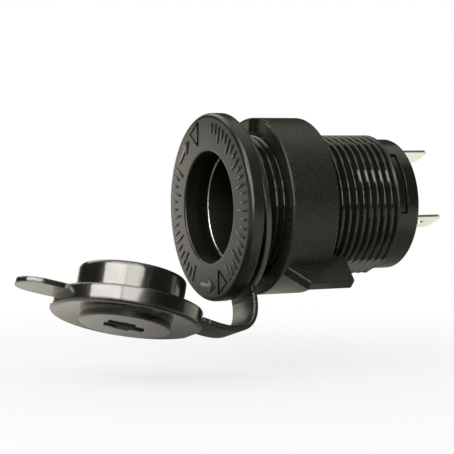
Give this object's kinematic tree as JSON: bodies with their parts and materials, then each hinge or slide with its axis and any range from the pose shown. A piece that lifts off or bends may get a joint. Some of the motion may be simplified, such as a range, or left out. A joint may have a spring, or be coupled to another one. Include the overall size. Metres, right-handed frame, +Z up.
{
  "type": "car 12v power socket",
  "caption": "Round panel-mount 12 volt accessory socket with a threaded barrel, winged mounting nut, blade terminals and a sealing cap hanging open on its strap.",
  "frame": {"origin": "on the socket's axis, at the bezel's rear seat, where the panel's front side comes", "axes": "+Y along the socket's axis into the panel, so the bezel faces -Y; +Z up, away from the hanging cap"},
  "size_m": [0.0377, 0.0921, 0.0441],
  "materials": {
    "body_plastic": "satin black moulding",
    "cap_plastic": "glossy soft black moulding",
    "sleeve_metal": "plated, drawn",
    "terminal_metal": "tin plated",
    "contact_brass": "bright",
    "insulation": "matt"
  },
  "bodies": {
    "socket": {"socket_body": "body_plastic", "contact_sleeve": "sleeve_metal", "centre_insulator": "insulation", "centre_contact": "contact_brass", "insulating_washer": "insulation", "positive_terminal": "terminal_metal", "negative_terminal": "terminal_metal", "earth_rivet": "contact_brass", "rear_cover": "body_plastic", "tether_ring": "cap_plastic"},
    "cap": {"tether_strap": "cap_plastic", "sealing_cap": "cap_plastic"},
    "nut": {"mounting_nut": "body_plastic"}
  },
  "joints": [
    {"name": "cap_swing", "type": "hinge", "parent": "socket", "child": "cap", "pos_m": [0.00542, -0.00079, -0.0205], "axis": [-0.9668, 0, -0.2554], "range_deg": [-25, 74.9], "deforming": ["tether_strap"]},
    {"name": "nut_turn", "type": "hinge", "parent": "socket", "child": "nut", "pos_m": [0, 0.0115, 0], "axis": [0, 1, 0], "continuous": true}
  ]
}
